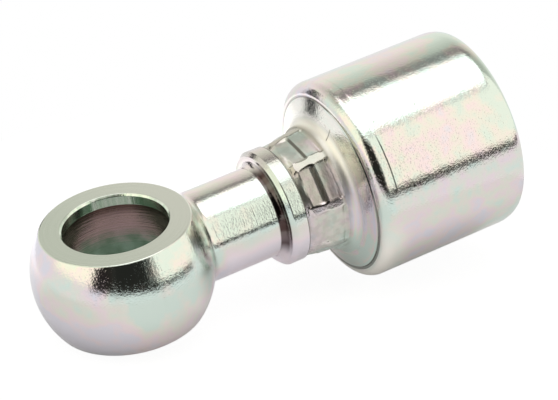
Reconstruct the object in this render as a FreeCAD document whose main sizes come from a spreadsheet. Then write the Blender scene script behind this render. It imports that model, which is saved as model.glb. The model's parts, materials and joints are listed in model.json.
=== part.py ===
import FreeCAD, Part
import math
import os

import Sketcher

# Ring-eye hose fitting: a turned ball-eye nipple with a ferrule staked on behind its collar.
# Both pieces are drawn about the stem's axis, X, with the centre of the eye's bore at the origin
# and the bore along Z. They are then tipped together about Y, into the pose in which the fitting
# rests on a table: on the far rim of the eye's lower face and on the ferrule's front corner.

os.makedirs("parts", exist_ok=True)
doc = FreeCAD.newDocument("hose_fitting")

DIMENSIONS = {
    # ball eye, for an M16 hollow bolt
    "ball_radius": 14.0,
    "eye_half_width": 8.0,
    "eye_bore_radius": 8.05,
    "eye_bore_chamfer": 0.5,
    "gallery_radius": 9.2,
    "gallery_half_width": 6.15,
    # stem and collar
    "stem_radius": 7.25,
    "stem_root_fillet": 1.7,
    "passage_radius": 4.75,
    "passage_step": 25.9,
    "eye_passage_radius": 3.2,
    "eye_passage_end": 25.0,
    "collar_front": 24.5,
    "collar_back": 27.35,
    "collar_radius": 9.3,
    "collar_fillet": 1.1,
    "collar_edge_depth": 0.4,
    "collar_edge_length": 0.75,
    # what the ferrule hides: locking groove, land and hose tail
    "lock_radius": 6.3,
    "lock_end": 30.7,
    "land_start": 31.3,
    "land_radius": 7.0,
    "land_end": 37.0,
    "tail_root_radius": 6.3,
    "barb_radius": 6.9,
    "barb_start": 38.6,
    "barb_pitch": 3.5,
    "barb_rise": 0.25,
    "barb_crest": 0.5,
    "tail_tip_radius": 6.0,
    "tail_end": 61.0,
    "tail_mouth_chamfer": 0.5,
    # ferrule neck: floors pressed in by the staking tool, and the ridges left between its jaws
    "piece_gap": 0.05,
    "lip_radius": 8.7,
    "lip_chamfer": 0.2,
    "lip_end": 27.7,
    "front_floor_start": 28.45,
    "front_floor_radius": 9.0,
    "front_floor_end": 30.45,
    "front_floor_rise": 0.1,
    "rear_floor_start": 31.25,
    "rear_floor_radius": 9.48,
    "rear_step_start": 32.2,
    "rear_step_end": 32.8,
    "rear_step_radius": 9.6,
    "window_end": 33.3,
    "neck_start": 33.8,
    "neck_radius": 10.15,
    "ridge_start": 27.6,
    "ridge_nose": 28.3,
    "ridge_nose_radius": 9.3,
    "ridge_knee": 31.0,
    "ridge_knee_radius": 9.85,
    "ridge_root_radius": 8.3,
    "ridge_root_half_width": 1.5,
    "ridge_top_half_width": 0.18,
    "ridge_top_radius": 10.6,
    "ridge_first_angle": 13.75,
    # ferrule shoulder and barrel
    "shoulder_foot": 35.13,
    "shoulder_foot_fillet": 1.7,
    "ring_inner_station": 36.39,
    "ring_inner_radius": 14.09,
    "corner_station": 36.97,
    "corner_fillet": 1.9,
    "barrel_radius": 16.15,
    "mouth": 62.35,
    "mouth_edge_fillet": 0.8,
    "pocket_start": 39.6,
    "pocket_radius": 12.9,
    "mouth_chamfer_depth": 0.9,
    "mouth_chamfer_length": 1.0,
    "tooth_start": 42.4,
    "tooth_pitch": 3.8,
    "tooth_radius": 12.15,
    "tooth_rise": 0.15,
    "tooth_crest": 0.5,
    "tooth_slope": 1.5,
}
BARB_COUNT = 6
TOOTH_COUNT = 5
RIDGE_COUNT = 8


class Size:
    """A length: its value in millimetres and the sheet expression that drives it."""

    def __init__(self, value, text):
        self.value = value
        self.text = text

    def __add__(self, other):
        other = as_size(other)
        return Size(self.value + other.value, f"({self.text} + {other.text})")

    def __sub__(self, other):
        other = as_size(other)
        return Size(self.value - other.value, f"({self.text} - {other.text})")

    def __mul__(self, factor):
        return Size(self.value * factor, f"({self.text} * {factor})")

    def __neg__(self):
        return Size(-self.value, f"(-{self.text})")


def as_size(length):
    return length if isinstance(length, Size) else Size(length, repr(length))


def make_sheet():
    """Writes every driving dimension into one sheet and returns it with the sizes by name."""
    sheet = doc.addObject("Spreadsheet::Sheet", "Sizes")
    sizes = {}
    for row, (alias, value) in enumerate(DIMENSIONS.items(), start=1):
        sheet.set(f"A{row}", alias.replace("_", " "))
        sheet.set(f"B{row}", str(value))
        sheet.setAlias(f"B{row}", alias)
        sizes[alias] = Size(value, f"Sizes.{alias}")
    doc.recompute()
    return sizes


def make_body(name):
    body = doc.addObject("PartDesign::Body", name)
    body.Label = name
    return body


def origin_feature(body, role):
    return next(part for part in body.Origin.OriginFeatures if part.Role == role)


def plane_sketch(body, name, role):
    sketch = body.newObject("Sketcher::SketchObject", name)
    sketch.AttachmentSupport = [(origin_feature(body, role), "")]
    sketch.MapMode = "FlatFace"
    return sketch


def pin_point(sketch, geometry, end, point, name):
    """Ties one end of a sketch line to its place across and up from the origin."""
    for kind, length in (("DistanceX", point[0]), ("DistanceY", point[1])):
        if length is None:
            continue
        if length.value == 0:
            axis = -2 if kind == "DistanceX" else -1
            sketch.addConstraint(Sketcher.Constraint("PointOnObject", geometry, end, axis))
            continue
        index = sketch.addConstraint(
            Sketcher.Constraint(kind, -1, 1, geometry, end, length.value))
        label = f"{name}_{'across' if kind == 'DistanceX' else 'up'}"
        sketch.renameConstraint(index, label)
        sketch.setExpression(f"Constraints.{label}", length.text)


def draw_outline(sketch, points, name="corner"):
    """Draws a closed run of straight lines through the points, each point tied to the sheet."""
    places = [FreeCAD.Vector(across.value, up.value, 0) for across, up in points]
    first = sketch.GeometryCount
    for start, end in zip(places, places[1:] + places[:1]):
        sketch.addGeometry(Part.LineSegment(start, end))
    for index in range(len(points)):
        following = first + (index + 1) % len(points)
        sketch.addConstraint(Sketcher.Constraint("Coincident", first + index, 2, following, 1))
    for index, point in enumerate(points):
        pin_point(sketch, first + index, 1, point, f"{name}_{index + 1}")


def revolve(body, sketch, name, kind="Revolution", axis="H_Axis"):
    feature = body.newObject(f"PartDesign::{kind}", name)
    feature.Profile = sketch
    feature.ReferenceAxis = (sketch, [axis])
    feature.Angle = 360.0
    doc.recompute()
    return feature


def circle_edges(shape, station, radius):
    """Names of the circular edges about X at a station and radius."""
    names = []
    for index, edge in enumerate(shape.Edges, start=1):
        if edge.Degenerated or not isinstance(edge.Curve, Part.Circle):
            continue
        centre = edge.Curve.Center
        on_axis = math.hypot(centre.y, centre.z) < 0.001
        if on_axis and abs(centre.x - station) < 0.01 and abs(edge.Curve.Radius - radius) < 0.01:
            names.append(f"Edge{index}")
    return names


def round_edge(body, name, station, radius, fillet):
    feature = body.newObject("PartDesign::Fillet", name)
    base = body.Tip if body.Tip is not feature else feature.BaseFeature
    feature.Base = (base, circle_edges(base.Shape, station, radius))
    feature.Radius = fillet.value
    feature.setExpression("Radius", fillet.text)
    body.Tip = feature
    doc.recompute()
    return feature


def require_cut(before, feature):
    if feature.Shape.Volume >= before - 1.0:
        raise RuntimeError(f"{feature.Name} removed nothing")


def draw_nipple_outline(body, size):
    """The nipple's outline about X: ball, stem, collar, locking groove, land and barbed tail."""
    zero = Size(0.0, "0")
    ball_end = math.sqrt(size["ball_radius"].value ** 2 - size["stem_radius"].value ** 2)
    sketch = plane_sketch(body, "nipple_outline", "XZ_Plane")
    points = [
        (None, size["stem_radius"]),
        (size["collar_front"], size["stem_radius"]),
        (size["collar_front"], size["collar_radius"] - size["collar_edge_depth"]),
        (size["collar_front"] + size["collar_edge_length"], size["collar_radius"]),
        (size["collar_back"], size["collar_radius"]),
        (size["collar_back"], size["lock_radius"]),
        (size["lock_end"], size["lock_radius"]),
        (size["land_start"], size["land_radius"]),
        (size["land_end"], size["land_radius"]),
        (size["land_end"] + 0.7, size["tail_root_radius"]),
    ]
    for barb in range(BARB_COUNT):
        start = size["barb_start"] + size["barb_pitch"] * barb
        points += [
            (start, size["tail_root_radius"]),
            (start + size["barb_rise"], size["barb_radius"]),
            (start + size["barb_rise"] + size["barb_crest"], size["barb_radius"]),
            (start + size["barb_pitch"] * 0.9, size["tail_root_radius"]),
        ]
    points += [
        (size["tail_end"] - 0.6, size["tail_root_radius"]),
        (size["tail_end"], size["tail_tip_radius"]),
        (size["tail_end"], zero),
        (-size["ball_radius"], zero),
    ]
    places = [FreeCAD.Vector(across.value if across else ball_end, up.value, 0)
              for across, up in points]
    for start, end in zip(places, places[1:]):
        sketch.addGeometry(Part.LineSegment(start, end))
    circle = Part.Circle(FreeCAD.Vector(0, 0, 0), FreeCAD.Vector(0, 0, 1), size["ball_radius"].value)
    arc = sketch.addGeometry(
        Part.ArcOfCircle(circle, math.atan2(places[0].y, places[0].x), math.pi))
    for index in range(len(points) - 2):
        sketch.addConstraint(Sketcher.Constraint("Coincident", index, 2, index + 1, 1))
    sketch.addConstraint(Sketcher.Constraint("Coincident", arc, 3, -1, 1))
    sketch.addConstraint(Sketcher.Constraint("Coincident", arc, 1, 0, 1))
    sketch.addConstraint(Sketcher.Constraint("Coincident", arc, 2, len(points) - 2, 2))
    for index, point in enumerate(points[:-1]):
        pin_point(sketch, index, 1, point, f"corner_{index + 1}")
    pin_point(sketch, len(points) - 2, 2, points[-1], "ball_end")
    return sketch, ball_end


def make_nipple(size):
    body = make_body("banjo_nipple")
    sketch, ball_end = draw_nipple_outline(body, size)
    revolve(body, sketch, "turned_blank")
    round_edge(body, "stem_root", ball_end, size["stem_radius"].value, size["stem_root_fillet"])
    round_edge(body, "collar_root", size["collar_front"].value, size["stem_radius"].value,
               size["collar_fillet"])

    # the two flats of the eye, milled across the ball
    volume = body.Tip.Shape.Volume
    sketch = plane_sketch(body, "eye_flats_outline", "XZ_Plane")
    reach = size["ball_radius"] + 1.0
    for side, name in ((1, "upper"), (-1, "lower")):
        flat = size["eye_half_width"] if side == 1 else -size["eye_half_width"]
        outer = reach if side == 1 else -reach
        draw_outline(sketch, [(-reach, flat), (reach, flat), (reach, outer), (-reach, outer)], name)
    flats = body.newObject("PartDesign::Pocket", "eye_flats")
    flats.Profile = sketch
    flats.Type = "ThroughAll"
    flats.Midplane = True
    doc.recompute()
    require_cut(volume, flats)

    # bore with a lip and chamfer at each face, and the wide oil gallery between the lips
    volume = flats.Shape.Volume
    zero = Size(0.0, "0")
    face = size["eye_half_width"]
    mouth_radius = size["eye_bore_radius"] + size["eye_bore_chamfer"]
    upper = [
        (size["gallery_radius"], size["gallery_half_width"]),
        (size["eye_bore_radius"], size["gallery_half_width"]),
        (size["eye_bore_radius"], face - size["eye_bore_chamfer"]),
        (mouth_radius, face),
        (mouth_radius, face + 1.0),
        (zero, face + 1.0),
    ]
    lower = [(across, -up) for across, up in reversed(upper)]
    sketch = plane_sketch(body, "eye_bore_outline", "XZ_Plane")
    draw_outline(sketch, lower + upper)
    bore = revolve(body, sketch, "eye_bore", "Groove", "V_Axis")
    require_cut(volume, bore)

    # oil passage from the gallery to the end of the tail
    volume = bore.Shape.Volume
    sketch = plane_sketch(body, "passage_outline", "XZ_Plane")
    draw_outline(sketch, [
        (zero, zero),
        (zero, size["eye_passage_radius"]),
        (size["eye_passage_end"], size["eye_passage_radius"]),
        (size["passage_step"], size["passage_radius"]),
        (size["tail_end"] - size["tail_mouth_chamfer"], size["passage_radius"]),
        (size["tail_end"], size["passage_radius"] + size["tail_mouth_chamfer"]),
        (size["tail_end"] + 1.0, size["passage_radius"] + size["tail_mouth_chamfer"]),
        (size["tail_end"] + 1.0, zero),
    ])
    passage = revolve(body, sketch, "oil_passage", "Groove")
    require_cut(volume, passage)
    body.Tip = passage
    return body


def ferrule_outline(size):
    """The ferrule's section: outside from the lip to the mouth, then back along the inside."""
    gap = size["piece_gap"]
    front = size["collar_back"]
    outside = [
        (front, size["lip_radius"] - size["lip_chamfer"]),
        (front + size["lip_chamfer"], size["lip_radius"]),
        (size["lip_end"], size["lip_radius"]),
        (size["front_floor_start"], size["front_floor_radius"]),
        (size["front_floor_end"], size["front_floor_radius"] + size["front_floor_rise"]),
        (size["rear_floor_start"], size["rear_floor_radius"]),
        (size["rear_step_start"], size["rear_floor_radius"]),
        (size["rear_step_end"], size["rear_step_radius"]),
        (size["window_end"], size["rear_step_radius"]),
        (size["neck_start"], size["neck_radius"]),
        (size["shoulder_foot"], size["neck_radius"]),
        (size["ring_inner_station"], size["ring_inner_radius"]),
        (size["corner_station"], size["barrel_radius"]),
        (size["mouth"], size["barrel_radius"]),
    ]
    inside = [
        (size["pocket_start"], size["pocket_radius"]),
        (size["pocket_start"], size["land_radius"] + gap),
        (size["land_start"], size["land_radius"] + gap),
        (size["lock_end"], size["lock_radius"] + gap),
        (front, size["lock_radius"] + gap),
    ]
    teeth = []
    for tooth in range(TOOTH_COUNT):
        start = size["tooth_start"] + size["tooth_pitch"] * tooth
        crest = start + size["tooth_rise"]
        teeth += [
            (start, size["pocket_radius"]),
            (crest, size["tooth_radius"]),
            (crest + size["tooth_crest"], size["tooth_radius"]),
            (crest + size["tooth_crest"] + size["tooth_slope"], size["pocket_radius"]),
        ]
    lead_in = [
        (size["mouth"] - size["mouth_chamfer_length"], size["pocket_radius"]),
        (size["mouth"], size["pocket_radius"] + size["mouth_chamfer_depth"]),
    ]
    return outside + list(reversed(teeth + lead_in)) + inside


def make_ferrule(size):
    body = make_body("crimp_ferrule")
    sketch = plane_sketch(body, "ferrule_outline", "XZ_Plane")
    draw_outline(sketch, ferrule_outline(size))
    revolve(body, sketch, "turned_shell")
    round_edge(body, "shoulder_foot", size["shoulder_foot"].value, size["neck_radius"].value,
               size["shoulder_foot_fillet"])
    round_edge(body, "front_corner", size["corner_station"].value, size["barrel_radius"].value,
               size["corner_fillet"])
    round_edge(body, "mouth_edge", size["mouth"].value, size["barrel_radius"].value,
               size["mouth_edge_fillet"])

    # one ridge between two jaws of the staking tool, then the ring of them
    sketch = plane_sketch(body, "ridge_section", "YZ_Plane")
    sketch.AttachmentOffset = FreeCAD.Placement(
        FreeCAD.Vector(0, 0, size["ridge_start"].value),
        FreeCAD.Rotation(FreeCAD.Vector(0, 0, 1), 90.0 - size["ridge_first_angle"].value))
    sketch.setExpression("AttachmentOffset.Base.z", size["ridge_start"].text)
    sketch.setExpression("AttachmentOffset.Rotation.Angle", f"90 - {size['ridge_first_angle'].text}")
    foot = size["ridge_root_half_width"]
    top = size["ridge_top_half_width"]
    draw_outline(sketch, [
        (-foot, size["ridge_root_radius"]),
        (foot, size["ridge_root_radius"]),
        (top, size["ridge_top_radius"]),
        (-top, size["ridge_top_radius"]),
    ])
    length = size["neck_start"] - size["ridge_start"]
    ridge = body.newObject("PartDesign::Pad", "ridge")
    ridge.Profile = sketch
    ridge.Length = length.value
    ridge.setExpression("Length", length.text)
    doc.recompute()
    ring = body.newObject("PartDesign::PolarPattern", "ridge_ring")
    ring.Originals = [ridge]
    ring.Axis = (origin_feature(body, "X_Axis"), [""])
    ring.Angle = 360.0
    ring.Occurrences = RIDGE_COUNT
    body.Tip = ring
    doc.recompute()

    # the ridges' tops follow the neck's flare
    volume = ring.Shape.Volume
    outer = size["ridge_top_radius"] + 1.0
    sketch = plane_sketch(body, "ridge_top_outline", "XZ_Plane")
    draw_outline(sketch, [
        (size["ridge_start"] - 0.2, size["lip_radius"]),
        (size["ridge_nose"], size["ridge_nose_radius"]),
        (size["ridge_knee"], size["ridge_knee_radius"]),
        (size["neck_start"], size["neck_radius"]),
        (size["neck_start"], outer),
        (size["ridge_start"] - 0.2, outer),
    ])
    trim = revolve(body, sketch, "ridge_tops", "Groove")
    require_cut(volume, trim)
    body.Tip = trim
    return body


def rest_tilt(size):
    """Expression and value of the tilt at rest, about Y, from the eye's rim to the front corner."""
    rim = f"sqrt({size['ball_radius'].text}^2 - {size['eye_half_width'].text}^2)"
    # centre of the rounded front corner, which is tangent to the barrel and to the ring's cone
    drop = f"({size['barrel_radius'].text} - {size['corner_fillet'].text} - {size['eye_half_width'].text})"
    cone = (f"atan(({size['corner_station'].text} - {size['ring_inner_station'].text}) / "
            f"({size['barrel_radius'].text} - {size['ring_inner_radius'].text}))")
    run = (f"({size['corner_station'].text} + {size['corner_fillet'].text} * "
           f"(1 - sin({cone})) / cos({cone}) + {rim})")
    return f"atan({drop} / {run}) + asin({size['corner_fillet'].text} / sqrt({drop}^2 + {run}^2))"


def check_document():
    for item in doc.Objects:
        if "Invalid" in item.State or "Error" in item.State:
            raise RuntimeError(f"{item.Name} failed: {item.State}")


def main():
    size = make_sheet()
    bodies = [make_nipple(size), make_ferrule(size)]
    for body in bodies:
        body.Placement = FreeCAD.Placement(
            FreeCAD.Vector(0, 0, 0), FreeCAD.Rotation(FreeCAD.Vector(0, -1, 0), 1.0))
        body.setExpression("Placement.Rotation.Angle", rest_tilt(size))
    doc.recompute()
    check_document()
    for body in bodies:
        if body.Shape.isNull() or not body.Shape.isValid():
            raise RuntimeError(f"{body.Label} has no valid shape")
        body.Shape.exportStep(f"parts/{body.Label}.step")
        print(body.Label, "volume %.0f" % body.Shape.Volume,
              "tilt %.2f" % math.degrees(body.Placement.Rotation.Angle))


main()
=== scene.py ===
import json
import math

import bmesh
import bpy
from mathutils import Matrix, Vector


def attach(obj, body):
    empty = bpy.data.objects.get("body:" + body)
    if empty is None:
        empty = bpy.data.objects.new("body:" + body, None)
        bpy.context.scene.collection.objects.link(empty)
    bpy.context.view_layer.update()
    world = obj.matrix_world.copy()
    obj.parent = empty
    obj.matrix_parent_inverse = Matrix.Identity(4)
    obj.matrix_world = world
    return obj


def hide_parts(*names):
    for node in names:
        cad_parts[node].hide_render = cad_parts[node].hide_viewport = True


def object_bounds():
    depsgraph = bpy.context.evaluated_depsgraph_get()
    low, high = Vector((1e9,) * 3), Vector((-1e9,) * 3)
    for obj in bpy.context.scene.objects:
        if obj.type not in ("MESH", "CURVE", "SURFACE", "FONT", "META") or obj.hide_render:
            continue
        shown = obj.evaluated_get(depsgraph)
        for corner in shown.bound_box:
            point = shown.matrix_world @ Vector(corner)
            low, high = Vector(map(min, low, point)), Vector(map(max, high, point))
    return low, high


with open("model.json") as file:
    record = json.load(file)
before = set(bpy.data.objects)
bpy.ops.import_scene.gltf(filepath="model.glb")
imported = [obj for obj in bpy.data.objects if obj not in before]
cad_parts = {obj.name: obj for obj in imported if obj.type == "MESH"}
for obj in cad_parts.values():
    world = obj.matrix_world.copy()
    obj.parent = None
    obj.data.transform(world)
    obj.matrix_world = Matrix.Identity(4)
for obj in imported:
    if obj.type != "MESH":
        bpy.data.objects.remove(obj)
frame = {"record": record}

cad_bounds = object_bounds()

# The banjo hose fitting as it lies on the table. Both pieces are drawn in the fitting's own frame,
# in millimetres, with the stem's axis as X and the eye's bore as Z, and then tipped as the CAD is.
MM = 0.001
BORE_AXIS = frame["record"]["mounts"][0]["axis"]
TILT = math.atan2(-BORE_AXIS[0], BORE_AXIS[2])
LIE_DOWN = Matrix.Rotation(-TILT, 4, "Y") @ Matrix.Scale(MM, 4)

# nipple
BALL_RADIUS = 14.0
EYE_HALF_WIDTH = 8.0
EYE_BORE = 8.05
EYE_CHAMFER = 0.32
GALLERY_RADIUS = 9.2
GALLERY_HALF_WIDTH = 6.15
STEM_RADIUS = 7.25
STEM_ROOT_FILLET = 1.7
PASSAGE_START = 1.0
EYE_PASSAGE_RADIUS = 3.2
EYE_PASSAGE_END = 25.0
PASSAGE_CONE = 0.9
PASSAGE_RADIUS = 4.75
PASSAGE_CHAMFER = 0.5
COLLAR_FRONT = 24.5
COLLAR_BACK = 27.35
COLLAR_RADIUS = 9.3
COLLAR_FILLET = 1.1
COLLAR_EDGE_DEPTH = 0.6
COLLAR_EDGE_LENGTH = 0.64
COLLAR_BACK_BREAK = 0.06
LOCK_RADIUS = 6.3
LOCK_END = 30.7
LAND_START = 31.3
LAND_END = 37.0
LAND_RADIUS = 7.0
TAIL_START = 37.7
TAIL_ROOT = 6.3
BARB_RADIUS = 6.9
BARB_START = 38.6
BARB_PITCH = 3.5
BARB_COUNT = 6
BARB_TOP = (0.25, 0.75)
BARB_SLOPE_END = 0.9
TAIL_END = 61.0
TAIL_TIP_LENGTH = 0.6
TAIL_TIP_RADIUS = 6.0

# ferrule
BARREL_RADIUS = 16.15
MOUTH = 62.35
POCKET_START = 39.6
POCKET_RADIUS = 12.9
TOOTH_RADIUS = 12.15
TOOTH_START = 42.4
TOOTH_PITCH = 3.8
TOOTH_COUNT = 5
TOOTH_TOP = (0.15, 0.65)
TOOTH_FOOT = 2.15
PIECE_GAP = 0.05
LIP_RADIUS = 8.7
LIP_FILLET = 0.15
NECK_FRONT = 27.37
NECK_START = 27.6
NECK_END = 33.8
NECK_RADIUS = 10.15
SHOULDER_FOOT = 35.13
SHOULDER_FILLET = 1.7
RING_STATION = 36.39
RING_RADIUS = 14.09
GROOVE_DEPTH = 0.2
GROOVE_WIDTH = 0.15
CORNER_START = 36.51
CORNER_FILLET = 1.89
MOUTH_ROUND = 2.2
MOUTH_DROP = 0.9
MOUTH_RIM = 0.9
MOUTH_LEAD_IN = 1.0
BARREL_LEDGE = 39.7
RIDGE_COUNT = 8
RIDGE_FIRST_ANGLE = 14.5
RIDGE_TOP_HALF_ANGLE = 2.6
RIDGE_FOOT_HALF_ANGLE = 5.8
JAW_FLATNESS = 0.8

# the neck's outline along its floors and along its ridges, and where the floors are flat, as (x, height)
FLOOR_OUTLINE = [(27.3, 8.45), (27.5, 8.7), (27.7, 8.8), (28.2, 9.03), (30.55, 9.03), (31.2, 9.48),
                 (31.9, 9.49), (33.1, 9.6), (33.4, 9.6), (33.9, 10.15), (40.0, 10.15)]
RIDGE_OUTLINE = [(27.3, 8.45), (27.5, 8.7), (27.75, 8.78), (28.3, 9.3), (31.0, 9.85), (33.6, 10.12),
                 (40.0, 10.15)]
FLAT_STRETCH = [(28.2, 0.0), (28.6, 1.0), (33.0, 1.0), (33.6, 0.0)]

# meshing
SECTOR_COLUMNS = 48
BALL_ROWS = 72
TABLE_SIDES = 96
ARC_STEP = math.radians(9.0)
SUPPORT = 0.06
EDGE_BREAK = 0.12
NECK_ROW = 0.1
NECK_SOFTNESS = 0.12
JOIN_DISTANCE = 0.0005
DEGENERATE_LENGTH = 0.0001
SHARP_EDGE = math.radians(35.0)

# studio; the table's stretches are measured from the eye's centre, across it and along it
TABLE_RADIUS = 68.0
TABLE_BACK = (12.0, 45.0)
TABLE_UNDER = (-18.0, 12.0)
TABLE_UNDER_STEM = (14.0, 38.0)
CARD_PLACE = (-3.7, 65.8)
CARD_HEADING = 120.0
CARD_WIDTH = 16.0
CARD_HEIGHT = 50.0

# camera, fitted to the photograph's outlines in the fitting's own frame
VIEW_AZIMUTH = -25.426
VIEW_ELEVATION = 31.784
VIEW_ROLL = -8.419
VIEW_DISTANCE = 389.94
VIEW_OFFSET_RIGHT = -23.449
VIEW_OFFSET_UP = -10.214
LENS = 167.41


def line_at(points, x):
    """Height of a run of straight lines at x."""
    for (x0, y0), (x1, y1) in zip(points, points[1:]):
        if x <= x1:
            return y0 + (y1 - y0) * max(0.0, (x - x0) / (x1 - x0))
    return points[-1][1]


def soft_line_at(points, x, reach):
    """The same with its corners eased over a short reach."""
    return sum(line_at(points, x + reach * k / 2) for k in (-2, -1, 0, 1, 2)) / 5


def arc(centre, start, end, radius, turn_left):
    """Points along an arc from one angle to another, both ends included."""
    sweep = end - start
    if turn_left and sweep < 0:
        sweep += 2 * math.pi
    if not turn_left and sweep > 0:
        sweep -= 2 * math.pi
    steps = max(3, math.ceil(abs(sweep) / ARC_STEP))
    return [(centre[0] + radius * math.cos(start + sweep * k / steps),
             centre[1] + radius * math.sin(start + sweep * k / steps)) for k in range(steps + 1)]


def rounded(points):
    """Rounds a run of (x, radius, fillet) corners; support points beside each fillet keep flats flat."""
    path = []
    for index, (x, r, fillet) in enumerate(points):
        here = Vector((x, r))
        if not fillet:
            path.append((x, r))
            continue
        last = Vector(points[index - 1][:2]) - here
        following = Vector(points[(index + 1) % len(points)][:2]) - here
        to_last, to_next = last.normalized(), following.normalized()
        half = to_last.angle(to_next) / 2
        reach = fillet / math.tan(half)
        centre = here + (to_last + to_next).normalized() * (fillet / math.sin(half))
        first, final = here + to_last * reach, here + to_next * reach
        start = math.atan2(first.y - centre.y, first.x - centre.x)
        end = math.atan2(final.y - centre.y, final.x - centre.x)
        turn_left = (end - start) % (2 * math.pi) < math.pi
        if last.length - reach > 3 * SUPPORT:
            path.append(tuple(first + to_last * SUPPORT))
        path += arc(centre, start, end, fillet, turn_left)
        if following.length - reach > 3 * SUPPORT:
            path.append(tuple(final + to_next * SUPPORT))
    return path


def repeat_tree():
    """Geometry nodes that repeat one sector round the X axis and join the copies into one skin."""
    tree = bpy.data.node_groups.new("repeat_round_axis", "GeometryNodeTree")
    for name, kind in (("Geometry", "NodeSocketGeometry"), ("Count", "NodeSocketInt"),
                       ("First Angle", "NodeSocketFloat"), ("Join Distance", "NodeSocketFloat"),
                       ("Material", "NodeSocketMaterial")):
        tree.interface.new_socket(name, in_out="INPUT", socket_type=kind)
    tree.interface.new_socket("Geometry", in_out="OUTPUT", socket_type="NodeSocketGeometry")
    node = tree.nodes.new
    link = tree.links.new
    given, result = node("NodeGroupInput"), node("NodeGroupOutput")

    points = node("GeometryNodePoints")
    link(given.outputs["Count"], points.inputs["Count"])
    share = node("ShaderNodeMath")
    share.operation = "DIVIDE"
    share.inputs[0].default_value = 2 * math.pi
    link(given.outputs["Count"], share.inputs[1])
    index = node("GeometryNodeInputIndex")
    turn = node("ShaderNodeMath")
    turn.operation = "MULTIPLY_ADD"
    link(index.outputs[0], turn.inputs[0])
    link(share.outputs[0], turn.inputs[1])
    link(given.outputs["First Angle"], turn.inputs[2])
    rotation = node("ShaderNodeCombineXYZ")
    link(turn.outputs[0], rotation.inputs["X"])

    copies = node("GeometryNodeInstanceOnPoints")
    link(points.outputs[0], copies.inputs["Points"])
    link(given.outputs["Geometry"], copies.inputs["Instance"])
    link(rotation.outputs[0], copies.inputs["Rotation"])
    realize = node("GeometryNodeRealizeInstances")
    link(copies.outputs[0], realize.inputs[0])
    merge = node("GeometryNodeMergeByDistance")
    link(realize.outputs[0], merge.inputs["Geometry"])
    link(given.outputs["Join Distance"], merge.inputs["Distance"])
    smooth = node("GeometryNodeSetShadeSmooth")
    link(merge.outputs[0], smooth.inputs["Geometry"])
    paint = node("GeometryNodeSetMaterial")
    link(smooth.outputs[0], paint.inputs["Geometry"])
    link(given.outputs["Material"], paint.inputs["Material"])
    link(paint.outputs[0], result.inputs[0])
    return tree


REPEAT = repeat_tree()


def plain_mesh(thing):
    """Turns an object with live modifiers into one with a plain mesh of the same shape."""
    bpy.context.view_layer.update()
    graph = bpy.context.evaluated_depsgraph_get()
    mesh = bpy.data.meshes.new_from_object(thing.evaluated_get(graph))
    thing.modifiers.clear()
    thing.data = mesh
    return thing


def turned_piece(name, radius_at, stations, material, first_angle=0.0):
    """A turned skin about X from radius_at(station, angle): one sector, as often as the neck has ridges."""
    sector = 2 * math.pi / RIDGE_COUNT
    rows = []
    for station in stations:
        row = []
        for column in range(SECTOR_COLUMNS + 1):
            angle = sector * (column / SECTOR_COLUMNS - 0.5)
            x, r = radius_at(station, angle)
            row.append((x, -r * math.cos(angle), r * math.sin(angle)))
        rows.append(row)
    width = SECTOR_COLUMNS + 1
    faces = []
    for i in range(len(rows)):
        for j in range(SECTOR_COLUMNS):
            # the last row meets the first again, so the skin is closed
            a, b = i * width + j, ((i + 1) % len(rows)) * width + j
            faces.append((a, a + 1, b + 1, b))
    mesh = bpy.data.meshes.new(name)
    mesh.from_pydata([point for row in rows for point in row], [], faces)
    piece = bpy.data.objects.new(name, mesh)
    bpy.context.scene.collection.objects.link(piece)
    repeat = piece.modifiers.new("repeat", "NODES")
    repeat.node_group = REPEAT
    given = {item.name: item.identifier for item in REPEAT.interface.items_tree if item.in_out == "INPUT"}
    repeat[given["Count"]] = RIDGE_COUNT
    repeat[given["First Angle"]] = first_angle
    repeat[given["Join Distance"]] = JOIN_DISTANCE
    repeat[given["Material"]] = material
    plain_mesh(piece)
    tidy_skin(piece)
    return piece


def tidy_skin(piece):
    """Joins doubles, drops faces with no area and points the faces outwards."""
    work = bmesh.new()
    work.from_mesh(piece.data)
    bmesh.ops.remove_doubles(work, verts=work.verts, dist=JOIN_DISTANCE)
    bmesh.ops.dissolve_degenerate(work, edges=work.edges, dist=DEGENERATE_LENGTH)
    bmesh.ops.recalc_face_normals(work, faces=work.faces)
    work.to_mesh(piece.data)
    work.free()
    piece.data.update()


def plain_outline(path):
    """Stations and a radius function for an outline that is the same all round."""
    return lambda station, angle: path[station], range(len(path))


# Shader maths


class Field:
    """A socket in a shader; Python arithmetic on fields adds Math nodes."""

    def __init__(self, shader, socket):
        self.shader = shader
        self.socket = socket

    def __add__(self, other):
        return self.shader.math("ADD", self, other)

    __radd__ = __add__

    def __mul__(self, other):
        return self.shader.math("MULTIPLY", self, other)

    __rmul__ = __mul__

    def __sub__(self, other):
        return self.shader.math("SUBTRACT", self, other)

    def __rsub__(self, other):
        return self.shader.math("SUBTRACT", other, self)


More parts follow.
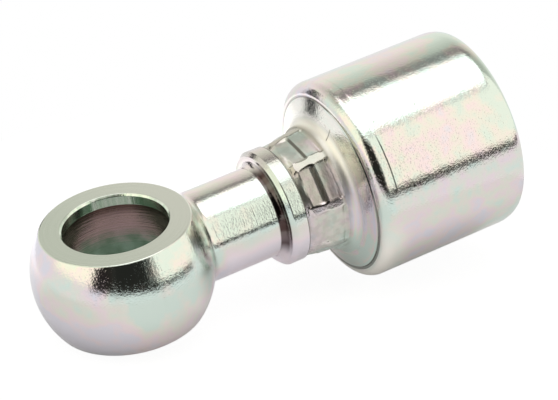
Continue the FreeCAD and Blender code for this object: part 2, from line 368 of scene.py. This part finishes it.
class Shader:
    """Adds nodes to one material's or world's tree."""

    def __init__(self, owner):
        owner.use_nodes = True
        self.tree = owner.node_tree
        self.tree.nodes.clear()

    def node(self, kind, settings=None, **given):
        """Adds a node. Sockets are given by name, with _ for a space, or as in0, in1 and so on."""
        node = self.tree.nodes.new(kind)
        for key, value in (settings or {}).items():
            if key == "stops":
                self.set_stops(node.color_ramp, value)
            else:
                setattr(node, key, value)
        for key, value in given.items():
            place = int(key[2:]) if key.startswith("in") and key[2:].isdigit() else key.replace("_", " ")
            socket = node.inputs[place]
            if isinstance(value, Field):
                self.tree.links.new(value.socket, socket)
            else:
                socket.default_value = value
        return node

    @staticmethod
    def set_stops(ramp, stops):
        while len(ramp.elements) < len(stops):
            ramp.elements.new(1.0)
        for element, (place, colour) in zip(ramp.elements, stops):
            element.position = place
            element.color = (*colour, 1.0)

    def out(self, node, name=0):
        return Field(self, node.outputs[name])

    def math(self, operation, *values):
        given = {f"in{i}": value for i, value in enumerate(values)}
        return self.out(self.node("ShaderNodeMath", {"operation": operation}, **given))

    def step(self, value, low, high):
        """0 below low, 1 above high, and an eased rise between."""
        node = self.node("ShaderNodeMapRange", {"interpolation_type": "SMOOTHSTEP"},
                         Value=value, From_Min=low, From_Max=high)
        return self.out(node)

    def band(self, value, low, high, soft):
        """1 between low and high, with eased edges."""
        return self.step(value, low - soft, low + soft) * (1 - self.step(value, high - soft, high + soft))

    def noise(self, vector, scale, detail=2.0, roughness=0.5):
        node = self.node("ShaderNodeTexNoise", Vector=vector, Scale=scale, Detail=detail,
                         Roughness=roughness)
        return self.out(node, "Fac")

    def noise_along(self, value, scale, detail=2.0):
        """Noise that varies along one measure only, such as turning marks."""
        node = self.node("ShaderNodeTexNoise", {"noise_dimensions": "1D"}, W=value, Scale=scale,
                         Detail=detail)
        return self.out(node, "Fac")

    def mix(self, factor, first, second):
        """Colour mix; colours are fields or RGB triples."""
        node = self.node("ShaderNodeMix", {"data_type": "RGBA"}, Factor=factor)
        for socket, colour in ((node.inputs[6], first), (node.inputs[7], second)):
            if isinstance(colour, Field):
                self.tree.links.new(colour.socket, socket)
            else:
                socket.default_value = (*colour, 1.0)
        return Field(self, node.outputs[2])


# colours of the plating's film, from thin to thick, each with its place on the ramp
FILM = [
    (0.15, (0.70, 0.805, 0.745)),
    (0.4, (0.80, 0.785, 0.72)),
    (0.62, (0.85, 0.735, 0.765)),
    (0.85, (0.775, 0.75, 0.82)),
]

# colours of single places
STEM_ROSE = (0.97, 0.86, 0.92)
COLLAR_GREY = (0.50, 0.50, 0.45)
COLLAR_ROOT_PAINTED_SHADE = (0.068, 0.036, 0.034)
COLLAR_EDGE_AND_SEAM_DARK = (0.08, 0.07, 0.06)
NECK_OLIVE = (0.37, 0.37, 0.31)
NECK_SEAM = (0.10, 0.09, 0.08)
UPPER_RIDGE_PAINTED_SHADE = (0.44, 0.42, 0.36)
LEDGE_PAINTED_SHADOW = (0.08, 0.065, 0.055)
SHOULDER_PAINTED_HIGHLIGHT = (0.98, 0.96, 0.88)
SHOULDER_SHADE = (0.34, 0.35, 0.29)
CORNER_PAINTED_HIGHLIGHT = (0.99, 0.95, 0.89)
GROOVE_PAINTED_SHADE = (0.12, 0.13, 0.11)
SCRATCH_DARK = (0.15, 0.13, 0.11)
FACE_DULL = (0.64, 0.70, 0.62)
FACE_PALE = (0.72, 0.77, 0.70)
FACE_BY_STEM = (0.84, 0.84, 0.79)
LIP_GREEN = (0.62, 0.78, 0.63)
LIP_PALE = (0.86, 0.93, 0.84)
# the gallery's colours: the film's tints, darkened as painted shade inside the recess; the brown is a painted
# shadow under the lip
GALLERY_MAUVE = (0.56, 0.37, 0.38)
GALLERY_PAINTED_SHADOW = (0.17, 0.10, 0.09)
GALLERY_DARK_GREEN = (0.17, 0.26, 0.18)
GALLERY_GREEN = (0.26, 0.37, 0.28)
GALLERY_PALE = (0.92, 0.93, 0.90)

BUMP_DEPTH = 0.00002


class Zinc(Shader):
    """Zinc plate with its places in the fitting's own frame, in millimetres and degrees about the stem.

    The angle is 0 on the near side and 90 on top.
    """

    def __init__(self, name):
        self.material = bpy.data.materials.new(name)
        super().__init__(self.material)
        place = self.node("ShaderNodeTexCoord")
        own = self.node("ShaderNodeMapping", {"vector_type": "POINT"}, Vector=self.out(place, "Object"),
                        Rotation=(0.0, TILT, 0.0), Scale=(1 / MM, 1 / MM, 1 / MM))
        self.place = self.out(own)
        split = self.node("ShaderNodeSeparateXYZ", Vector=self.place)
        self.x, self.y, self.z = (self.out(split, axis) for axis in "XYZ")
        self.radius = self.math("SQRT", self.y * self.y + self.z * self.z)
        self.angle = self.math("ARCTAN2", self.z, self.y * -1.0) * (180.0 / math.pi)
        self.grain = self.noise(self.place, 3.4, detail=2.0, roughness=0.6)

    def pits(self):
        """Small scattered specks in the plating."""
        return self.step(self.noise(self.place, 4.5, detail=1.0), 0.60, 0.74)

    def streaks(self):
        """Noise drawn out round the stem."""
        drawn_out = self.node("ShaderNodeMapping", {"vector_type": "POINT"}, Vector=self.place,
                              Scale=(2.8, 0.5, 0.5))
        return self.noise(self.out(drawn_out), 1.0, detail=1.5)

    def mottle(self):
        """Patches a few millimetres across, of uneven film thickness, either side of 0."""
        broad, fine = self.noise(self.place, 0.09, detail=1.0), self.noise(self.place, 0.34, detail=3.0)
        return broad * 0.9 + fine * 1.3 - 1.1

    def cells(self, scale):
        """Distance from the nearest of many scattered points."""
        return self.out(self.node("ShaderNodeTexVoronoi", Vector=self.place, Scale=scale), "Distance")

    def film(self, thickness):
        """The colours of the passivation film, from thin to thick."""
        return self.out(self.node("ShaderNodeValToRGB", {"stops": FILM}, Fac=thickness))

    def finish(self, colour, roughness, height):
        """Joins the three fields to a bare metal surface and gives the material back."""
        bump = self.node("ShaderNodeBump", Strength=1.0, Distance=BUMP_DEPTH, Height=height)
        surface = self.node("ShaderNodeBsdfPrincipled", Metallic=1.0, Base_Color=colour, Roughness=roughness,
                            Normal=self.out(bump))
        self.node("ShaderNodeOutputMaterial", Surface=self.out(surface))
        return self.material


def nipple_zinc():
    """Turned zinc with rings about X; the root of the collar is painted dark as painted shade."""
    zinc = Zinc("nipple_zinc")
    x, angle = zinc.x, zinc.angle
    stem = zinc.step(x, 13.0, 15.0)
    # the film is thickest below, thin on the near side above, and thicker over the top and at the ball's end
    thickness = 0.7 - zinc.step(angle, -22.0, 2.0) * 0.54 + zinc.step(angle, 55.0, 88.0) * 0.36
    thickness = thickness + stem * zinc.band(angle, -30.0, 8.0, 6.0) * 0.24
    thickness = thickness - stem * zinc.step(angle, 12.0, 18.0) * 0.08
    thickness = thickness + zinc.step(x * -1.0, 3.0, 10.0) * 0.34
    colour = zinc.film(thickness + zinc.mottle() * (1.0 - stem * 0.5))
    stem_below = stem * (1.0 - zinc.step(angle, -10.0, 5.0))
    colour = zinc.mix(stem_below * 0.5, colour, STEM_ROSE)

    # the collar: greyer on top, with painted shade at its root, dark along its front edge and in the seam
    # behind it
    land = zinc.band(x, COLLAR_FRONT + 0.1, COLLAR_BACK - 0.05, 0.1) * zinc.step(angle, 42.0, 52.0)
    # painted shade in the collar's concave root, standing in for the dark reflection of the table shaded
    # under the ball
    root = zinc.band(x, COLLAR_FRONT - 1.15, COLLAR_FRONT, 0.12) * zinc.band(angle, -30.0, 88.0, 14.0)
    root = root * (0.86 + zinc.step(zinc.noise_along(angle, 0.06, detail=1.0), 0.35, 0.65) * 0.12)
    edge_station = COLLAR_FRONT + COLLAR_EDGE_LENGTH
    # darker along part of the collar's front edge and in the seam behind the collar
    edge = zinc.band(x, edge_station - 0.08, edge_station + 0.08, 0.04) * zinc.band(angle, 16.0, 52.0, 3.0)
    seam = zinc.step(x, COLLAR_BACK - 0.21, COLLAR_BACK - 0.09) * zinc.step(zinc.radius, 8.6, 8.8)
    colour = zinc.mix(land * 0.4, colour, COLLAR_GREY)
    colour = zinc.mix(root, colour, COLLAR_ROOT_PAINTED_SHADE)
    colour = zinc.mix(edge * 0.7 + seam * 0.8, colour, COLLAR_EDGE_AND_SEAM_DARK)

    rings = zinc.noise_along(x, 4.0, detail=1.5)
    smear = zinc.noise(zinc.place, 0.35, detail=2.0)
    turn = zinc.math("ARCTAN2", zinc.y, x)
    scuffs = zinc.step(zinc.noise_along(turn, 6.0, detail=3.0), 0.52, 0.66) * (1 - stem)
    height = rings * 0.25 + zinc.streaks() * 0.5 + zinc.grain * 1.05 + zinc.pits() * 0.3 + smear * 0.5
    return zinc.finish(colour, 0.05 + zinc.grain * 0.04 + land * 0.1 + scuffs * 0.09, height)


def ferrule_film(zinc, neck):
    """The ferrule's film: mottled all over, and in hoops on the shoulder, thicker down its near side."""
    x, angle = zinc.x, zinc.angle
    shoulder = zinc.band(x, NECK_END, RING_STATION + 0.21, 0.3)
    hoops = zinc.noise_along(zinc.radius + x, 0.9, detail=2.0)
    round_it = (1.0 - zinc.step(angle, 5.0, 48.0)) * 0.34 - (1.0 - zinc.step(angle, -32.0, -12.0)) * 0.62
    thickness = 0.41 - zinc.step(angle, -10.0, 20.0) * 0.02 - zinc.step(angle, 70.0, 90.0) * 0.1 - neck * 0.04
    return zinc.film(thickness + zinc.mottle() * 1.25 + shoulder * ((hoops - 0.45) * 1.3 + round_it))


def shoulder_colour(zinc, colour, scratch):
    """The shoulder: painted highlight above and on the rounded corner, painted shade below and in the ring
    groove, and one short scratch.
    """
    x, angle, radius = zinc.x, zinc.angle, zinc.radius
    # painted highlight on the shoulder's upper side
    bright = zinc.band(x, NECK_END + 0.1, RING_STATION, 0.2) * zinc.step(angle, 15.0, 40.0)
    colour = zinc.mix(bright * 0.85, colour, SHOULDER_PAINTED_HIGHLIGHT)
    # painted highlight on the rounded corner, except low down
    bright_corner = zinc.step(x, RING_STATION, RING_STATION + 0.4) * (1.0 - zinc.step(x, 37.4, 42.0))
    bright_corner = bright_corner * (1.0 - zinc.step(angle, -25.0, 5.0))
    colour = zinc.mix(bright_corner * 0.9, colour, CORNER_PAINTED_HIGHLIGHT)
    shade = zinc.band(x, NECK_END + 0.5, RING_STATION + 0.1, 0.2) * (1.0 - zinc.step(angle, -78.0, -32.0))
    colour = zinc.mix(shade * 0.35, colour, SHOULDER_SHADE)
    # painted shade fills the ring groove; it looks wider towards the bottom and is paler at the top
    below = 1.0 - zinc.step(angle, -5.0, 25.0)
    above = zinc.step(angle, 45.0, 65.0)
    inner = zinc.step(radius, RING_RADIUS - 0.09, RING_RADIUS - 0.03)
    outer = zinc.step(radius - below * 0.3 - above * 0.14, RING_RADIUS + 0.16, RING_RADIUS + 0.22)
    groove = inner * (1.0 - outer) * zinc.band(x, RING_STATION - 0.39, RING_STATION + 0.71, 0.1)
    colour = zinc.mix(groove * (0.75 - above * 0.3), colour, GROOVE_PAINTED_SHADE)
    return zinc.mix(scratch * 0.7, colour, SCRATCH_DARK)


def ferrule_zinc():
    """Smoother zinc, mottled by handling; satin where the jaws pressed, hooped on the shoulder."""
    zinc = Zinc("ferrule_zinc")
    x, angle = zinc.x, zinc.angle
    neck = 1.0 - zinc.step(x, NECK_END - 0.1, NECK_END + 1.1)
    fillet = zinc.band(x, NECK_END - 0.4, NECK_END + 1.8, 0.35)
    corner = zinc.band(x, CORNER_START + 0.39, CORNER_START + CORNER_FILLET + 0.1, 0.3)
    scratch = zinc.band(angle - x * 2.6, -21.3, -20.5, 0.2) * zinc.band(x, 34.9, 35.7, 0.12)
    # the jaws left the floors rough, but not the ridges between them
    off_ridge = zinc.math("PINGPONG", angle + (180.0 - RIDGE_FIRST_ANGLE), 180.0 / RIDGE_COUNT)
    floors = zinc.step(off_ridge, 3.5, 6.0) * (1.0 - zinc.step(x, NECK_END - 0.6, NECK_END))

    colour = ferrule_film(zinc, neck)
    # the neck is dull, with marks round it
    marks = zinc.step(zinc.noise(zinc.place, 0.8, detail=1.5), 0.40, 0.62)
    colour = zinc.mix(neck * (0.18 + marks * 0.2), colour, NECK_OLIVE)
    colour = shoulder_colour(zinc, colour, scratch)
    seam = 1.0 - zinc.step(x, NECK_FRONT + 0.05, NECK_FRONT + 0.18)
    colour = zinc.mix(seam * 0.75, colour, NECK_SEAM)
    # painted shade darkens the upper ridges, toning down their reflection of the tent's top
    upper_ridges = neck * (1.0 - floors) * zinc.step(angle, 44.0, 54.0)
    colour = zinc.mix(upper_ridges * 0.75, colour, UPPER_RIDGE_PAINTED_SHADE)
    # painted shadow along the step in the floors
    ledge_shadow = zinc.band(x, 30.68, 31.08, 0.08) * floors * zinc.band(angle, 16.0, 98.0, 3.0)
    colour = zinc.mix(ledge_shadow * 0.8, colour, LEDGE_PAINTED_SHADOW)

    rings = zinc.noise_along(x, 2.0, detail=1.5)
    smear = zinc.noise(zinc.place, 0.5, detail=3.0)
    ledge = zinc.step(x, BARREL_LEDGE - 0.15, BARREL_LEDGE + 0.15)
    dents = 1.0 - zinc.step(zinc.cells(0.33), 0.03, 0.07)
    height = rings * 0.08 + zinc.grain * (0.9 + floors * 0.5 + corner * 0.6) + smear * 0.8
    height = height + zinc.pits() * (0.2 + corner * 0.25)
    height = height + ledge * 1.2 - scratch * 2.0 - dents * 1.5
    return zinc.finish(colour, 0.05 + zinc.grain * 0.04 + neck * 0.05 + floors * 0.2 + fillet * 0.36, height)


def gallery_colour(zinc, bore_rings):
    """The film's tints darkened as painted shade on the stem's side of the gallery: a brown painted shadow at
    the top under the lip, mauve below and green low down.
    """
    patches = zinc.noise(zinc.place, 0.25, detail=2.0)
    # painted shadow at the top of the gallery, under the lip
    upper = zinc.mix(zinc.step(zinc.z, 3.2, 5.4), GALLERY_MAUVE, GALLERY_PAINTED_SHADOW)
    lower = zinc.mix(zinc.step(patches, 0.40, 0.60), GALLERY_DARK_GREEN, GALLERY_GREEN)
    border = zinc.z + (bore_rings - 0.5) * 3.0 + (patches - 0.5) * 5.0
    tinted_shade = zinc.mix(zinc.step(border, -1.5, 2.0), lower, upper)
    stem_side = zinc.step(zinc.x * 0.43 + zinc.y * 0.9, -5.5, -3.0)
    return zinc.mix(stem_side, GALLERY_PALE, tinted_shade)


def eye_zinc():
    """The eye's faces and bore: satin faces with fine rings about Z, a pale lip and a gallery darkened with
    painted shade.
    """
    zinc = Zinc("eye_zinc")
    across = zinc.math("SQRT", zinc.x * zinc.x + zinc.y * zinc.y)
    turn = zinc.math("ARCTAN2", zinc.y, zinc.x)
    inside = 1 - zinc.step(across, EYE_BORE + 0.01, EYE_BORE + 0.45)
    deep = zinc.step(across, EYE_BORE + 0.15, EYE_BORE + 0.35)
    deep = deep * zinc.band(zinc.z, -GALLERY_HALF_WIDTH - 0.15, GALLERY_HALF_WIDTH + 0.15, 0.1)
    face_rings = zinc.noise_along(across, 4.0, detail=3.0)
    bore_rings = zinc.noise_along(zinc.z, 3.5, detail=4.0)
    lip_marks = zinc.noise_along(turn, 9.0, detail=4.0)

    colour = zinc.mix(face_rings, FACE_DULL, FACE_PALE)
    colour = zinc.mix(zinc.step(zinc.x, -9.0, 11.0) * 0.6, colour, FACE_BY_STEM)
    lip = zinc.mix(zinc.step(lip_marks, 0.3, 0.7), LIP_GREEN, LIP_PALE)
    colour = zinc.mix(inside, colour, lip)
    colour = zinc.mix(deep, colour, gallery_colour(zinc, bore_rings))

    height = face_rings * 0.5 * (1 - inside) + bore_rings * 1.4 * deep + lip_marks * 1.6 * inside
    return zinc.finish(colour, 0.2 - inside * 0.04, height + zinc.grain * 0.6)


# The nipple


def nipple_outline():
    """Ball, root fillet, stem, collar, hidden neck, tail and the oil passage back into the eye."""
    fillet_height = STEM_RADIUS + STEM_ROOT_FILLET
    reach = BALL_RADIUS + STEM_ROOT_FILLET
    fillet_station = math.sqrt(reach ** 2 - fillet_height ** 2)
    join = math.atan2(fillet_height, fillet_station)
    ball = [(BALL_RADIUS * math.cos(a), BALL_RADIUS * math.sin(a))
            for a in (math.pi + (join - math.pi) * k / BALL_ROWS for k in range(BALL_ROWS + 1))]
    root = arc((fillet_station, fillet_height), join + math.pi, 1.5 * math.pi, STEM_ROOT_FILLET, True)
    tail = []
    for barb in range(BARB_COUNT):
        start = BARB_START + BARB_PITCH * barb
        tail += [(start, TAIL_ROOT, 0), *((start + top, BARB_RADIUS, 0) for top in BARB_TOP),
                 (start + BARB_PITCH * BARB_SLOPE_END, TAIL_ROOT, 0)]
    rest = rounded([
        (fillet_station + 0.1, STEM_RADIUS, 0),
        (COLLAR_FRONT, STEM_RADIUS, COLLAR_FILLET),
        (COLLAR_FRONT, COLLAR_RADIUS - COLLAR_EDGE_DEPTH, EDGE_BREAK),
        (COLLAR_FRONT + COLLAR_EDGE_LENGTH, COLLAR_RADIUS, EDGE_BREAK),
        (COLLAR_BACK, COLLAR_RADIUS, COLLAR_BACK_BREAK),
        (COLLAR_BACK, LOCK_RADIUS, 0),
        (LOCK_END, LOCK_RADIUS, 0),
        (LAND_START, LAND_RADIUS, 0),
        (LAND_END, LAND_RADIUS, 0),
        (TAIL_START, TAIL_ROOT, 0),
        *tail,
        (TAIL_END - TAIL_TIP_LENGTH, TAIL_ROOT, EDGE_BREAK),
        (TAIL_END, TAIL_TIP_RADIUS, EDGE_BREAK),
        (TAIL_END, PASSAGE_RADIUS + PASSAGE_CHAMFER, EDGE_BREAK),
        (TAIL_END - PASSAGE_CHAMFER, PASSAGE_RADIUS, 0),
        (EYE_PASSAGE_END + PASSAGE_CONE, PASSAGE_RADIUS, 0),
        (EYE_PASSAGE_END, EYE_PASSAGE_RADIUS, 0),
        (PASSAGE_START, EYE_PASSAGE_RADIUS, 0),
        (PASSAGE_START, 0.0, 0),
    ])
    return ball + root[1:] + rest[1:]


def eye_cutter(material):
    """What is cut from the ball about Z: the space over both flats, and the bore with its gallery."""
    face = EYE_HALF_WIDTH
    # the outside stands well clear of the ball
    wide, tall = BALL_RADIUS + 4.0, BALL_RADIUS + 3.0
    # the flat's rim is eased where it meets the ball
    rim = math.sqrt(BALL_RADIUS ** 2 - face ** 2)
    inward, down = 0.09, 0.13
    upper = [
        (GALLERY_HALF_WIDTH, GALLERY_RADIUS, EDGE_BREAK),
        (GALLERY_HALF_WIDTH, EYE_BORE, EDGE_BREAK),
        (face - EYE_CHAMFER, EYE_BORE, EDGE_BREAK),
        (face, EYE_BORE + EYE_CHAMFER, EDGE_BREAK),
        (face, rim - inward, EDGE_BREAK),
        (face - down, rim + inward, 0),
        (face - down, wide, 0),
        (tall, wide, 0),
        (tall, 0.0, 0),
    ]
    lower = [(-z, r, fillet) for z, r, fillet in reversed(upper)]
    path = rounded(lower + upper)
    radius_at, stations = plain_outline(path)
    cutter = turned_piece("eye_cutter", radius_at, stations, material)
    # the sector is turned about X; this stands its axis up along Z
    cutter.data.transform(Matrix.Rotation(math.radians(-90.0), 4, "Y"))
    tidy_skin(cutter)
    return cutter


def make_nipple():
    radius_at, stations = plain_outline(nipple_outline())
    nipple = turned_piece("nipple", radius_at, stations, nipple_zinc())
    cutter = eye_cutter(eye_zinc())
    cut = nipple.modifiers.new("eye", "BOOLEAN")
    cut.operation = "DIFFERENCE"
    cut.solver = "EXACT"
    cut.material_mode = "TRANSFER"
    cut.object = cutter
    plain_mesh(nipple)
    bpy.data.objects.remove(cutter)
    tidy_skin(nipple)
    nipple.data.set_sharp_from_angle(angle=SHARP_EDGE)
    return nipple


# The ferrule


def ridge_share(angle):
    """How far the ridge stands at this angle from its middle: 1 on its top, 0 on the floor."""
    outer = math.radians(RIDGE_FOOT_HALF_ANGLE)
    inner = math.radians(RIDGE_TOP_HALF_ANGLE)
    share = min(1.0, max(0.0, (outer - abs(angle)) / (outer - inner)))
    return share * share * (3 - 2 * share)


def ferrule_stations():
    """Outside from the front lip to the mouth, then back along the inside to the front."""
    gap = PIECE_GAP
    neck_length = NECK_END - NECK_START
    neck_rows = round(neck_length / NECK_ROW)
    neck = [("neck", NECK_START + neck_length * k / neck_rows) for k in range(neck_rows + 1)]
    quarter_turn = round(math.pi / 2 / ARC_STEP)
    mouth = [(MOUTH - MOUTH_ROUND * (1 - math.sin(a)), BARREL_RADIUS - MOUTH_DROP * (1 - math.cos(a)), 0)
             for a in (ARC_STEP * k for k in range(quarter_turn + 1))]
    # a fine groove parts the cone from the rounded corner
    outside = rounded([
        (NECK_END + 0.05, NECK_RADIUS, 0),
        (SHOULDER_FOOT, NECK_RADIUS, SHOULDER_FILLET),
        (RING_STATION, RING_RADIUS - 0.02, 0.04),
        (RING_STATION + GROOVE_DEPTH, RING_RADIUS + 0.03, 0.03),
        (CORNER_START, RING_RADIUS + GROOVE_WIDTH, 0),
        (CORNER_START, BARREL_RADIUS, CORNER_FILLET),
        (MOUTH - MOUTH_ROUND - SUPPORT, BARREL_RADIUS, 0),
        *mouth,
        (MOUTH, POCKET_RADIUS + MOUTH_RIM, EDGE_BREAK),
        (MOUTH - MOUTH_LEAD_IN, POCKET_RADIUS, EDGE_BREAK),
    ])
    teeth = []
    for tooth in reversed(range(TOOTH_COUNT)):
        start = TOOTH_START + TOOTH_PITCH * tooth
        teeth += [(start + TOOTH_FOOT, POCKET_RADIUS),
                  *((start + top, TOOTH_RADIUS) for top in reversed(TOOTH_TOP)),
                  (start, POCKET_RADIUS)]
    inside = [(POCKET_START, POCKET_RADIUS), (POCKET_START, LAND_RADIUS + gap),
              (LAND_START, LAND_RADIUS + gap), (LOCK_END, LOCK_RADIUS + gap),
              (NECK_FRONT, LOCK_RADIUS + gap)]
    lip = rounded([(NECK_FRONT, LOCK_RADIUS + gap, 0), (NECK_FRONT, LIP_RADIUS, LIP_FILLET),
                   (NECK_START, LIP_RADIUS, 0)])[1:-1]
    return neck + outside + teeth + inside + lip


def ferrule_radius(station, angle):
    if station[0] != "neck":
        return station
    x = station[1]
    floor, ridge = (soft_line_at(outline, x, NECK_SOFTNESS) for outline in (FLOOR_OUTLINE, RIDGE_OUTLINE))
    # the jaws are nearly flat, so each floor rises a little from its middle to the ridges beside it
    flat = 1 / math.cos(math.pi / RIDGE_COUNT - abs(angle)) - 1
    floor = min(ridge, floor * (1 + JAW_FLATNESS * flat * line_at(FLAT_STRETCH, x)))
    radius = floor + (ridge - floor) * ridge_share(angle)
    # the ridge tops are flat across
    across = min(abs(angle), math.radians(RIDGE_FOOT_HALF_ANGLE))
    return x, radius * (1 + (1 / math.cos(across) - 1) * ridge_share(angle) * line_at(FLAT_STRETCH, x))


def make_ferrule():
    return turned_piece("ferrule", ferrule_radius, ferrule_stations(), ferrule_zinc(),
                        first_angle=-math.radians(RIDGE_FIRST_ANGLE))


def place_piece(piece, node):
    """Tips a finished piece into the pose at rest, hangs it on the root body and hides its CAD node."""
    piece.data.transform(LIE_DOWN)
    piece.data.update()
    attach(piece, "root")
    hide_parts(node)


# The studio


def flat_sheet(name, corners, material):
    """One flat face, given by its corners."""
    mesh = bpy.data.meshes.new(name)
    mesh.from_pydata(corners, [], [tuple(range(len(corners)))])
    mesh.materials.append(material)
    sheet = bpy.data.objects.new(name, mesh)
    bpy.context.scene.collection.objects.link(sheet)
    return sheet


def floor_white():
    """White that glows to the camera, so that shadows stay faint; in reflections it glows with painted light,
    brighter at the back and dimmer as painted shadow under the ball and the barrel.
    """
    material = bpy.data.materials.new("floor_white")
    shader = Shader(material)
    seen = shader.out(shader.node("ShaderNodeLightPath"), "Is Camera Ray")
    reflected = 1.0 - seen
    where = shader.out(shader.node("ShaderNodeTexCoord"), "Object")
    place = shader.node("ShaderNodeSeparateXYZ", Vector=where)
    along, across = (shader.out(place, axis) * (1 / MM) for axis in "XY")
    # painted light: in reflections the table glows brighter towards the back
    back = shader.step(across, *TABLE_BACK) * reflected
    # painted shadow: less light gets under the ball and the barrel than under the stem between them
    under_stem = shader.band(along, *TABLE_UNDER_STEM, 3.0)
    near = shader.band(across, *TABLE_UNDER, 6.0) * (1.0 - under_stem) * reflected
    light = shader.mix(back, (1.0, 1.0, 1.0), (1.35, 1.35, 1.35))
    light = shader.mix(seen, light, (1.1, 1.1, 1.1))
    matt = shader.out(shader.node("ShaderNodeBsdfDiffuse", Color=(0.86, 0.87, 0.90, 1.0)))
    glow = shader.out(shader.node("ShaderNodeEmission", Color=light, Strength=1.0))
    glow_share = seen * 0.54 + back * 0.45 - near * 0.2 + 0.31
    surface = shader.node("ShaderNodeMixShader", in0=glow_share, in1=matt, in2=glow)
    shader.node("ShaderNodeOutputMaterial", Surface=shader.out(surface))
    return material


def make_floor():
    """A small round white table under the fitting."""
    low, high = cad_bounds
    middle_x, middle_y = ((low[k] + high[k]) / 2 for k in range(2))
    reach = TABLE_RADIUS * MM
    turns = [2 * math.pi * k / TABLE_SIDES for k in range(TABLE_SIDES)]
    ring = [(middle_x + reach * math.cos(a), middle_y + reach * math.sin(a), low[2]) for a in turns]
    floor = flat_sheet("floor", ring, floor_white())


def card_dark():
    material = bpy.data.materials.new("card_dark")
    shader = Shader(material)
    matt = shader.out(shader.node("ShaderNodeBsdfDiffuse", Color=(0.06, 0.062, 0.065, 1.0)))
    shader.node("ShaderNodeOutputMaterial", Surface=matt)
    return material


def make_card():
    """A dark card that stands behind the fitting, outside the picture; the shoulder reflects it."""
    base = Vector((*CARD_PLACE, cad_bounds[0][2] / MM)) * MM
    heading = math.radians(CARD_HEADING)
    across = Vector((-math.sin(heading), math.cos(heading), 0.0)) * (CARD_WIDTH * MM / 2)
    up = Vector((0.0, 0.0, CARD_HEIGHT * MM))
    corners = [base - across, base + across, base + across + up, base - across + up]
    card = flat_sheet("card", corners, card_dark())
    card.visible_camera = False


# patches of the light tent in the order they are painted:
# headings from and to, heights from and to, soft edge (all in degrees), colour
TENT_PATCHES = {
    "panel on the right": ((-74.0, -3.0), (4.0, 64.0), 2.0, (1.16, 1.10, 1.00)),
    "panel on the left": ((150.0, 200.0), (3.0, 56.0), 4.0, (1.22, 1.18, 1.0)),
    "the same panel, where headings start again": ((-200.0, -152.0), (3.0, 56.0), 3.0, (1.22, 1.18, 1.0)),
    "grey border of the gap": ((-154.0, -73.0), (-4.0, 56.0), 2.0, (0.16, 0.16, 0.15)),
    "dark gap that the camera looks in through": ((-152.0, -84.0), (-3.0, 54.0), 2.0, (0.022, 0.021, 0.019)),
    "foot of the gap": ((-154.0, -62.0), (-3.2, 4.8), 1.0, (0.035, 0.032, 0.03)),
    "dark line at table height on the right": ((-62.0, -22.0), (-2.8, 2.8), 0.8, (0.03, 0.028, 0.026)),
    "grey strip at the back, under the top": ((35.0, 110.0), (46.0, 60.0), 2.5, (0.30, 0.29, 0.28)),
}
TENT_WALL_LOW = (0.95, 0.93, 0.86)
TENT_WALL_HIGH = (0.52, 0.52, 0.46)
TENT_BELOW_TABLE = (0.88, 0.89, 0.89)

# the tent's top from its border inwards: heights between which each colour takes over
TENT_TOP = [
    ((59.4, 60.0), (0.33, 0.31, 0.31)),
    ((61.5, 62.1), (1.4, 1.38, 1.3)),
    ((63.0, 67.0), (1.7, 1.7, 1.68)),
]
TENT_TOP_LEAN = 0.048


def make_studio():
    """A light tent: white top, soft side panels, and the dark gap that the camera looks in through."""
    world = bpy.data.worlds.new("light_tent")
    bpy.context.scene.world = world
    shader = Shader(world)
    direction = shader.out(shader.node("ShaderNodeTexCoord"), "Generated")
    split = shader.node("ShaderNodeSeparateXYZ", Vector=direction)
    x, y, z = (shader.out(split, axis) for axis in "XYZ")
    to_degrees = 180.0 / math.pi
    height = shader.math("ARCSINE", z) * to_degrees
    heading = shader.math("ARCTAN2", y, x) * to_degrees
    # the top leans a little to the back
    lean = shader.math("ARCSINE", z + y * TENT_TOP_LEAN) * to_degrees

    colour = shader.mix(shader.step(height, 10.0, 56.0), TENT_WALL_LOW, TENT_WALL_HIGH)
    colour = shader.mix(shader.step(height, -2.0, 1.0), TENT_BELOW_TABLE, colour)
    for headings, heights, soft, paint in TENT_PATCHES.values():
        patch = shader.band(heading, *headings, soft) * shader.band(height, *heights, soft)
        colour = shader.mix(patch, colour, paint)
    for heights, paint in TENT_TOP:
        colour = shader.mix(shader.step(lean, *heights), colour, paint)

    seen = shader.out(shader.node("ShaderNodeLightPath"), "Is Camera Ray")
    colour = shader.mix(seen, colour, (1.0, 1.0, 1.0))
    surface = shader.node("ShaderNodeBackground", Color=colour)
    shader.node("ShaderNodeOutputWorld", Surface=shader.out(surface))


def make_camera():
    """The camera, placed in the fitting's own frame and tipped with it."""
    azimuth, elevation, roll = (math.radians(v) for v in (VIEW_AZIMUTH, VIEW_ELEVATION, VIEW_ROLL))
    back = Vector((math.sin(azimuth) * math.cos(elevation), -math.cos(azimuth) * math.cos(elevation),
                   math.sin(elevation)))
    level_right = Vector((0, 0, 1)).cross(back).normalized()
    level_up = back.cross(level_right)
    right = math.cos(roll) * level_right + math.sin(roll) * level_up
    up = -math.sin(roll) * level_right + math.cos(roll) * level_up
    place = -VIEW_OFFSET_RIGHT * right - VIEW_OFFSET_UP * up + VIEW_DISTANCE * back
    turn = Matrix((right, up, back)).transposed().to_4x4()
    data = bpy.data.cameras.new("camera")
    data.lens = LENS
    data.sensor_width = 36.0
    data.clip_start = 0.01
    camera = bpy.data.objects.new("camera", data)
    bpy.context.scene.collection.objects.link(camera)
    camera.matrix_world = Matrix.Rotation(-TILT, 4, "Y") @ Matrix.Translation(place * MM) @ turn
    bpy.context.scene.camera = camera


make_camera()
make_studio()
make_floor()
make_card()
place_piece(make_nipple(), "banjo_nipple")
place_piece(make_ferrule(), "crimp_ferrule")
bpy.context.scene.view_settings.view_transform = "Standard"
